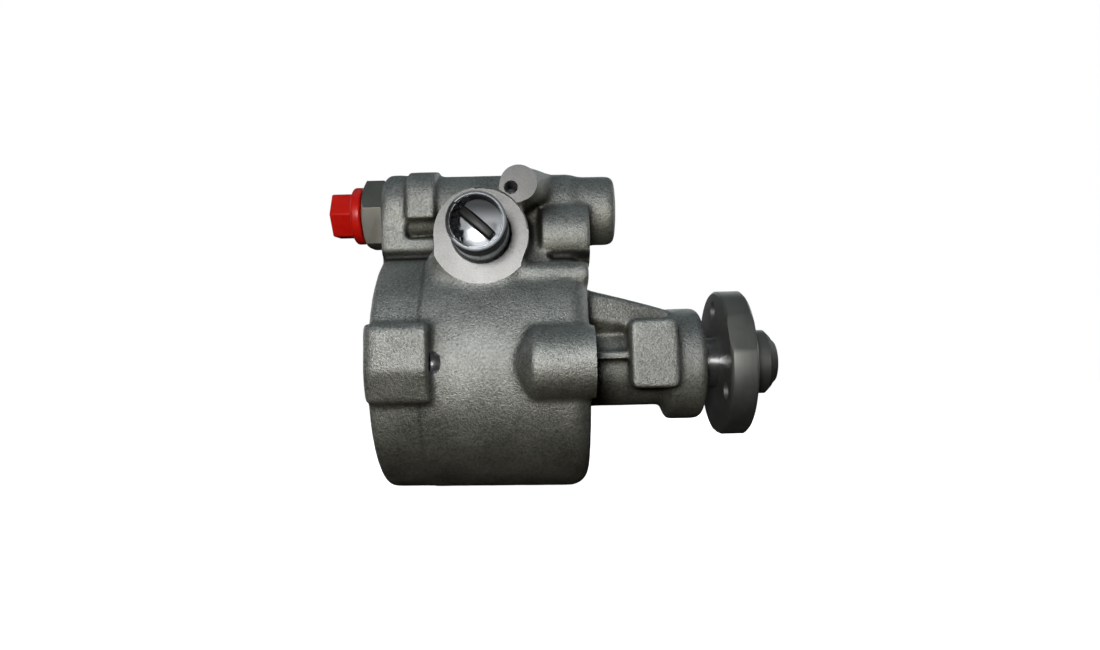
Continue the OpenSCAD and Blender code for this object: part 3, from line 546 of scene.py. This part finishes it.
def addStock(bm):
    # faces that get machined stand proud until then
    stock, radius = casting["stock"], casting["inletRadius"]
    x, z = casting["inlet"]
    rod(bm, (x, 0, z), axisY, casting["inletFace"] - stock, -20, casting["inletStock"])
    start, sweep = casting["lobe"]
    arc = [math.radians(start + sweep * k / 24) for k in range(25)]
    lobe = [(x + radius * math.cos(a), z + radius * math.sin(a)) for a in arc]
    prism(bm, lobe + [(x + 8.7, z - 6), (x - 8.7, z - 6)], casting["inletFace"] - stock, -24)
    x, z = casting["lug"]
    rod(bm, (x, 0, z), axisY, casting["lugFace"] - stock, -20, casting["lugRadius"])
    for y in casting["bosses"]:
        rod(bm, (0, y, 0), axisX, -4, 1.8, casting["bossRadius"])
    rod(bm, casting["valve"], axisX, casting["outletFace"] - stock, -72, 12.3)
    # slanting underside of the block
    prism(bm, casting["blockFoot"], casting["outletFace"] + 0.3, casting["blockFootEnd"], axisX)
    # web between the inlet and the bulge, and the foot that runs on below it
    prism(bm, casting["web"], *casting["webEnds"], axisX)
    rod(bm, casting["foot"], axisX, *casting["footEnds"], casting["footRadius"])


def addRim(bm):
    # cast rim below the inlet face, running out into the body
    x, z = casting["inlet"]
    inner, outer = casting["rim"]
    start, sweep = casting["rimArc"]
    sections = []
    for k in range(27):
        a = math.radians(start + sweep * k / 26)
        skin = [-math.sqrt(casting["bodyRadius"] ** 2 - (z + r * math.sin(a)) ** 2) for r in (inner, outer)]
        front = min(casting["inletFace"] + 0.2, skin[0] - 0.6)
        points = [(13, -22), (13, front), (inner + 0.6, front), (outer, skin[1] + 0.1), (outer, -18)]
        sections.append([bm.verts.new(Vector((x + r * math.cos(a), y, z + r * math.sin(a))) * mm) for r, y in points])
    bm.faces.new(sections[0])
    bm.faces.new(sections[-1][::-1])
    for low, high in zip(sections, sections[1:]):
        for k in range(5):
            n = (k + 1) % 5
            bm.faces.new([low[n], low[k], high[k], high[n]])


def softness(spots):
    # the narrow forms keep more of their shape
    x, y, z = (spots / mm).T
    soft = np.ones(len(spots))
    snout = (x > 0.5) & (abs(y) < 30) & (z < 40)
    soft[snout] = 0.6
    soft[(x > 12) & (y < -17) & (z > -14) & (z < 19)] = 0.3    # pad
    soft[(x < -50) & (z > 46)] = 0.5    # block
    soft[(x < -53) & (y > -20) & (z > 36) & (z < 44)] = 0.3    # below the block
    soft[(x < -66) & (y < -42)] = 1.6    # rear boss, worn round
    soft[(x > -20) & (x < 2) & (y > -28) & (z > 34) & (z < 41)] = 0.2    # below the bulge
    soft[snout & (x < 16) & (abs(z - 3.1) < 3.2)] = 0.35    # side ribs
    return soft


def filletShare(spots):
    # wide fillets below the inlet, narrow ones elsewhere
    x, y, z = (spots / mm).T
    share = np.full(len(spots), 0.055)
    ix, iz = casting["inlet"]
    share[(np.hypot(x - ix, z - iz) < 25) & (z < iz + 3) & (x < ix + 12) & (y < -14)] = 1.0
    share[(x < -54) & (z > 36) & (z < 46)] = 0.0    # below the block
    share[(x > -26) & (x < -14) & (y < -12) & (z > 31) & (z < 56)] = 0.4    # between inlet and bulge
    share[(x > -20) & (y > -30) & (z > 33) & (z < 42)] = 0.0    # below the bulge
    return share


def smoothMesh(mesh, filling, softening):
    # the first passes only fill inside corners, the others round everything
    count = len(mesh.vertices)
    spots = np.empty(count * 3)
    mesh.vertices.foreach_get("co", spots)
    spots = spots.reshape(-1, 3)
    ends = np.empty(len(mesh.edges) * 2, dtype=np.int64)
    mesh.edges.foreach_get("vertices", ends)
    first, second = ends.reshape(-1, 2).T
    neighbours = np.bincount(ends, minlength=count)[:, None]
    normals = np.empty(count * 3)
    soft = softness(spots)[:, None]
    fillet = filletShare(spots)[:, None]
    for step in range(filling + softening):
        lean = np.stack([np.bincount(first, spots[second, k], count) + np.bincount(second, spots[first, k], count)
                         for k in range(3)], axis=1) / neighbours - spots
        if step < filling:
            if step % 6 == 0:
                mesh.vertices.foreach_set("co", spots.ravel())
                mesh.update()
                mesh.vertices.foreach_get("normal", normals)
            inside = (lean * normals.reshape(-1, 3)).sum(axis=1, keepdims=True) > 0
            spots = spots + lean * inside * fillet * 0.5
        else:
            spots = spots + lean * soft * 0.5
    mesh.vertices.foreach_set("co", spots.ravel())
    mesh.update()


def makeCasting():
    bm = bmesh.new()
    bm.from_mesh(cadNodes["pump_housing"].data)
    bmesh.ops.remove_doubles(bm, verts=bm.verts, dist=1e-7)
    stopBores(bm)
    addStock(bm)
    addRim(bm)
    thing = asObject("housingCasting", bm)
    step = thing.modifiers.new("remesh", "REMESH")
    step.mode = "VOXEL"
    step.voxel_size = casting["voxel"] * mm
    settle(thing)
    print("casting remeshed:", len(thing.data.polygons), "faces")

    smoothMesh(thing.data, casting["filling"], casting["softening"])

    # the rear band of the body is a little slimmer
    crease, (inside, outside) = casting["crease"], casting["bandReach"]
    for v in thing.data.vertices:
        x, y, z = v.co / mm
        radius = math.hypot(y, z)
        if x < crease and inside < radius < outside:
            share = min(1.0, (crease - x) / casting["bandRun"])
            v.co.y *= 1 - casting["bandStep"] * share / radius
            v.co.z *= 1 - casting["bandStep"] * share / radius

    # slight waviness of the mould
    normals = [v.normal.copy() for v in thing.data.vertices]
    for v, normal in zip(thing.data.vertices, normals):
        spot = v.co / mm
        wave = sum(noise.noise(spot / size) * height for size, height in casting["waves"])
        v.co += normal * (wave - casting["shrink"]) * mm
    thing.data.materials.append(materials["cast_housing"])
    softShade(thing, 60)
    return thing


def machiningCuts():
    cuts = []

    def cut(build, finish="milled"):
        bm = bmesh.new()
        build(bm)
        cuts.append(asObject("cut", bm, materials[finish]))

    ix, iz = casting["inlet"]
    lx, lz = casting["lug"]
    towardsLug = math.atan2(lz - iz, lx - ix)

    def inletFace(bm):
        outline = []
        for k in range(144):
            a = 2 * math.pi * k / 144
            away = abs((a - towardsLug + math.pi) % (2 * math.pi) - math.pi)
            reach = 16 if away < math.radians(48) else casting["inletRadius"]
            outline.append((ix + reach * math.cos(a), iz + reach * math.sin(a)))
        prism(bm, outline, -60, casting["inletFace"])

    cut(inletFace)
    cut(lambda bm: rod(bm, (lx, 0, lz), axisY, -60, casting["lugFace"], 11.5))
    # painted shadow: the recess round the foot of the tube is cut in the black rubber colour to read as a dark contact
    # shadow
    cut(lambda bm: lathe(bm, [(-40, 0), (-40, 10.7), (-33.4, 10.7), (-33.4, 10.32), (-18.4, 10.32), (-18.4, 0)],
                         (ix, 0, iz), axisY), "black_rubber")
    lugThread = thread(casting["lugFace"], -25.5, *casting["lugThread"])
    cut(lambda bm: lathe(bm, lugThread, casting["lugHole"], axisY, 48), "tapped")
    bossThread = thread(0, 16, *casting["bossThread"])
    for y in casting["bosses"]:
        cut(lambda bm: rod(bm, (0, y, 0), axisX, 0, 6, 15))
        cut(lambda bm: lathe(bm, bossThread, (0, y, 0), -axisX, 48), "tapped")
    rearThread = thread(casting["rearBossBack"], -52.0, *casting["bossThread"])
    cut(lambda bm: lathe(bm, rearThread, casting["rearHole"], axisX, 48), "tapped")
    face = casting["outletFace"]
    valveBore = [(face - 7, 0), (face - 7, 20), (face, 20), (face, 12), (face + 2.4, 12), (face + 2.4, 10.02),
                 (face + 15, 10.02), (face + 15, 9), (4, 9), (4, 0)]
    cut(lambda bm: lathe(bm, valveBore, casting["valve"], axisX))
    # cavity with its groove for the retaining ring, then the bores for the shaft, the bushing and the seal
    rim, bore, back = casting["bodyEnd"], casting["bore"], casting["coverBack"]
    shaftBore = [(rim - 5, 0), (rim - 5, bore + 6.5), (rim, bore + 1.5), (rim + 1.5, bore),
                 (back - 2.24, bore), (back - 2.24, bore + 1.32), (back, bore + 1.32), (back, bore),
                 (-14.5, bore), (-14.5, 10.3), (5, 10.3), (5, 11.54), (36.2, 11.54), (36.2, 15.6),
                 (42.6, 15.6), (43.2, 16.2), (46, 19), (46, 0)]
    cut(lambda bm: lathe(bm, shaftBore, (0, 0, 0), axisX, 128))
    whole = cuts[0]
    for other in cuts[1:]:
        combine(whole, other, "UNION")
    return whole


housing = makeCasting()
combine(housing, machiningCuts(), "DIFFERENCE")
softShade(housing, 40)
for face in housing.data.polygons:
    if face.material_index and max(abs(n) for n in face.normal) > 0.9999:
        face.use_smooth = False
enter(housing, "housing", "pump_housing")
print("casting machined:", len(housing.data.polygons), "faces")


def dressed(node, name, body, edge, segments=3, shade=14):
    # the CAD piece with its edges broken
    bm = bmesh.new()
    bm.from_mesh(cadNodes[node].data)
    bmesh.ops.remove_doubles(bm, verts=bm.verts, dist=1e-7)
    bmesh.ops.dissolve_limit(bm, angle_limit=math.radians(0.6), verts=bm.verts, edges=bm.edges)
    thing = asObject(name, bm, materials[slotOf[node]])
    breakEdges(thing, edge, segments)
    softShade(thing, shade)
    enter(thing, body, node)
    return thing


turned = {
    "flangeEdge": 0.3,
    "nutEdge": 0.3,
    "coverEdge": 0.4,
    "nose": 66,    # the chamfer past this station gets the dark oxide colour as painted shade
    "slant": (0.2, 0.97),
}
flange = dressed("drive_flange", "pulleyFlange", "rotating_group", turned["flangeEdge"])
flange.data.materials.append(materials["oxide"])
flattest, steepest = turned["slant"]
# painted shade on the nose chamfer
for part in flange.data.polygons:
    if part.center.x > turned["nose"] * mm and flattest < part.normal.x < steepest:
        part.material_index = 1
dressed("outlet_fitting", "outletNut", "housing", turned["nutEdge"])
dressed("end_cover", "rearCover", "housing", turned["coverEdge"])
print("turned parts dressed")

cap = {
    "collar": (-83.3, -88.1),
    "collarRadius": 10.85,
    "end": -96.1,
    "flats": 16.1,
    "turn": 23,
    "stem": (-72, 7.1),
}


def makeCap():
    bm = bmesh.new()
    front, back = cap["collar"]
    radius = cap["collarRadius"]
    deep, stem = cap["stem"]
    lathe(bm, [(deep, 0), (deep, stem), (front - 1, stem)] + turn(front - 2.0, radius - 1.0, 1.0, 0, 90)
          + turn(back + 1.1, radius - 1.1, 1.1, 90, 180, 8) + [(back, 0)], casting["valve"], axisX, 128)
    collar = asObject("transportCap", bm, materials["red_cap"])

    bm = bmesh.new()
    corner = cap["flats"] / math.sqrt(3)
    ring = [math.radians(cap["turn"] + 60 * k) for k in range(6)]
    midY, midZ = casting["valve"][1:]
    rows = [[bm.verts.new(Vector((x, midY + corner * math.sin(a), midZ + corner * math.cos(a))) * mm) for a in ring]
            for x in (cap["end"], back + 1)]
    bm.faces.new(rows[0])
    bm.faces.new(rows[1][::-1])
    for k in range(6):
        n = (k + 1) % 6
        bm.faces.new([rows[0][n], rows[0][k], rows[1][k], rows[1][n]])
    head = asObject("head", bm, materials["red_cap"])
    breakEdges(head, 0.7, 4)
    combine(collar, head, "UNION")
    softShade(collar, 14)
    enter(collar, "housing", "outlet_cap")


makeCap()

stub = {
    "rim": -54.0,
    "outer": 9.9,
    "inner": 8.8,
    "press": (-34.4, -19.4, 10.3),
    "plugWall": 8.45,
    "floor": -48.0,
    "dome": 1.2,
    "lean": 0.16,
    "bar": (13.6, 3.6, -52.6, -48.2),
    "barTurn": -42,
}


def makeStub():
    x, z = casting["inlet"]
    place = (x, 0, z)
    rim, outer, inner = stub["rim"], stub["outer"], stub["inner"]
    face, deep, press = stub["press"]
    bm = bmesh.new()
    profile = turn(rim + 0.45, outer - 0.2, 0.2, 150, 90, 4)
    profile += [(face + 0.7, outer), (face + 0.7, press), (deep, press), (deep, inner)]
    profile += turn(rim + 0.2, inner + 0.2, 0.2, -90, -200, 4)
    lathe(bm, profile + profile[:1], place, axisY, 128)
    bmesh.ops.remove_doubles(bm, verts=bm.verts, dist=1e-7)
    tube = asObject("suctionStub", bm, materials["zinc_tube"])
    tube.data.materials.append(materials["tube_shade"])
    tube.data.materials.append(materials["black_rubber"])
    # painted shade: the outer wall takes the shaded tube colour
    for part in tube.data.polygons:
        along = (part.center - Vector(place) * mm) / mm
        reach = math.hypot(along.x, along.z)
        if reach > outer - 0.2 and along.y > rim + 0.5:
            part.material_index = 2 if reach > outer + 0.05 else 1    # painted shadow: the pressed seat takes the black rubber colour, dark like the gap at the tube's foot
    softShade(tube, 30)
    enter(tube, "housing", "inlet_tube")


def makePlug():
    x, z = casting["inlet"]
    place = (x, 0, z)
    wall, floor, dome = stub["plugWall"], stub["floor"], stub["dome"]
    lip, outer = stub["rim"] + 0.3, stub["inner"] - 0.03
    bm = bmesh.new()
    profile = [(floor - dome, 0)]
    for k in range(1, 13):
        profile.append((floor - dome * (1 - (k / 12) ** 2), k / 12 * wall))
    profile.append((lip + 0.2, wall))
    profile += turn(lip + 0.16, (wall + outer) / 2, 0.16, -120, -240, 5)
    profile += [(lip + 0.3, outer), (floor + 0.8, outer), (floor + 0.8, 0)]
    lathe(bm, profile, place, axisY, 96)
    for v in bm.verts:
        reach = math.hypot(v.co.x / mm - x, v.co.z / mm - z)
        if v.co.y < (floor + 0.4) * mm and reach < wall:
            v.co.y += (v.co.z - z * mm) * stub["lean"] * (1 - reach / wall)
    dish = asObject("plugCup", bm, materials["plug_foil"])
    dish.data.materials.append(materials["film"])
    for part in dish.data.polygons:
        along = part.center / mm - Vector(place)
        if math.hypot(along.x, along.z) > wall - 0.2 and along.x < -2:
            part.material_index = 1
    softShade(dish, 40)
    enter(dish, "housing", "inlet_plug")


def makeBar():
    x, z = casting["inlet"]
    length, width, front, back = stub["bar"]
    bm = bmesh.new()
    slant = math.radians(stub["barTurn"])
    along = Vector((math.cos(slant), 0, math.sin(slant)))
    across = Vector((-math.sin(slant), 0, math.cos(slant)))
    steps = 14
    rows = []
    for k in range(steps + 1):
        t = k / steps * 2 - 1
        half = width / 2 * (1 - 0.12 * abs(t) ** 3)
        rise = front + 0.7 * t * t
        middle = Vector((x, 0, z)) + along * t * length / 2
        section = [(-half, back), (-half, rise + 0.5), (-half * 0.7, rise)]
        section += [(-s, y) for s, y in section[::-1]]
        rows.append([bm.verts.new((middle + across * s + axisY * y) * mm) for s, y in section])
    bm.faces.new(rows[0])
    bm.faces.new(rows[-1][::-1])
    for low, high in zip(rows, rows[1:]):
        for k in range(6):
            n = (k + 1) % 6
            bm.faces.new([low[k], low[n], high[n], high[k]])
    bar = asObject("pullBar", bm, materials["black_plastic"])
    breakEdges(bar, 0.25, 2, 30)
    softShade(bar, 30)
    enter(bar, "housing", "inlet_plug_bar")


film = {
    "from": 118,
    "to": 236,
    "top": -54.12,
    "low": -48.7,
    "fold": 0.18,
    "reach": 9.75,
    "thick": 0.14,
    "crumple": 2.4,
}


def makeFilm():
    # crumpled scrap of black film on the left wall of the plug
    x, z = casting["inlet"]
    across, deep = 60, 26
    bm = bmesh.new()
    layers = []
    for inset in (0, film["thick"]):
        rows = []
        for j in range(deep + 1):
            t = j / deep
            row = []
            for k in range(across + 1):
                s = k / across
                a = math.radians(film["from"] + (film["to"] - film["from"]) * s)
                crease = 1 - min(1, 2.6 * abs(noise.noise(Vector((s * 8, t * 3, 2.7)))))
                shallow = min(1, 5 * s, 5 * (1 - s))
                down = max(0, t - film["fold"]) / (1 - film["fold"])
                over = max(0, 1 - t / film["fold"])    # the part that lies over the rim
                lean = 3.6 * down * down * max(0, s - 0.35) * shallow
                wall = stub["plugWall"] - 0.1 + (film["reach"] - stub["plugWall"]) * over * shallow
                reach = wall - inset - film["crumple"] * crease * shallow * min(1, 2 * down) - lean
                y = film["top"] + inset + (film["low"] - film["top"]) * down
                y += 0.45 * noise.noise(Vector((s * 6, 9.1, t * 2))) * min(1, 3 * down) + 0.2 * over
                row.append(bm.verts.new(Vector((x + reach * math.cos(a), y, z + reach * math.sin(a))) * mm))
            rows.append(row)
        layers.append(rows)
    outer, inner = layers
    for j in range(deep):
        for k in range(across):
            bm.faces.new([outer[j][k], outer[j][k + 1], outer[j + 1][k + 1], outer[j + 1][k]])
            bm.faces.new([inner[j][k], inner[j + 1][k], inner[j + 1][k + 1], inner[j][k + 1]])
    edge = [(0, k) for k in range(across)] + [(j, across) for j in range(deep)]
    edge += [(deep, k) for k in range(across, 0, -1)] + [(j, 0) for j in range(deep, 0, -1)]
    for (j, k), (m, n) in zip(edge, edge[1:] + edge[:1]):
        bm.faces.new([outer[j][k], inner[j][k], inner[m][n], outer[m][n]])
    scrap = asObject("plugFilm", bm, materials["film"])
    softShade(scrap, 60)
    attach(scrap, "housing")


makeStub()
makePlug()
makeBar()
makeFilm()
print("stub, plug and cap made")


def makeFloor():
    material, here = startMaterial("paleFloor")
    speck = here.grain(30.0, 3.0, 0.5)
    tone = speck.ramp((0.3, (0.90, 0.90, 0.90)), (0.7, (0.94, 0.94, 0.94)))
    endMaterial(here, {"Base Color": tone, "Roughness": 0.9, "Specular IOR Level": 0.0,
                       "Emission Color": rgb(1, 1, 1), "Emission Strength": 1.0})
    bm = bmesh.new()
    bmesh.ops.create_grid(bm, x_segments=40, y_segments=40, size=4)
    for v in bm.verts:
        v.co.z = cadBox[0][2] - 0.0005
    floor = asObject("paleFloor", bm, material)
    floor.visible_glossy = False
    floor.visible_diffuse = False


makeFloor()

world = bpy.data.worlds.new("room")
bpy.context.scene.world = world
world.use_nodes = True
world.node_tree.nodes.clear()
sky = Wire(world.node_tree)
height = sky.put("ShaderNodeTexCoord", out="Generated").along("Z")
glow = (height * 0.5 + 0.5).ramp((0.25, (0.004, 0.0028, 0.0018)), (0.5, (0.014, 0.0142, 0.0135)),
                                 (0.9, (0.08, 0.095, 0.102)))
room = sky.put("ShaderNodeBackground", {}, {"Color": glow, "Strength": 1.0})
paper = sky.put("ShaderNodeBackground", {}, {"Color": rgb(1, 1, 1), "Strength": 1.0})
seen = sky.put("ShaderNodeLightPath", out="Is Camera Ray")
around = sky.put("ShaderNodeMixShader", {}, {0: seen, 1: room, 2: paper})
sky.put("ShaderNodeOutputWorld", {}, {"Surface": around})
print("floor and room made")
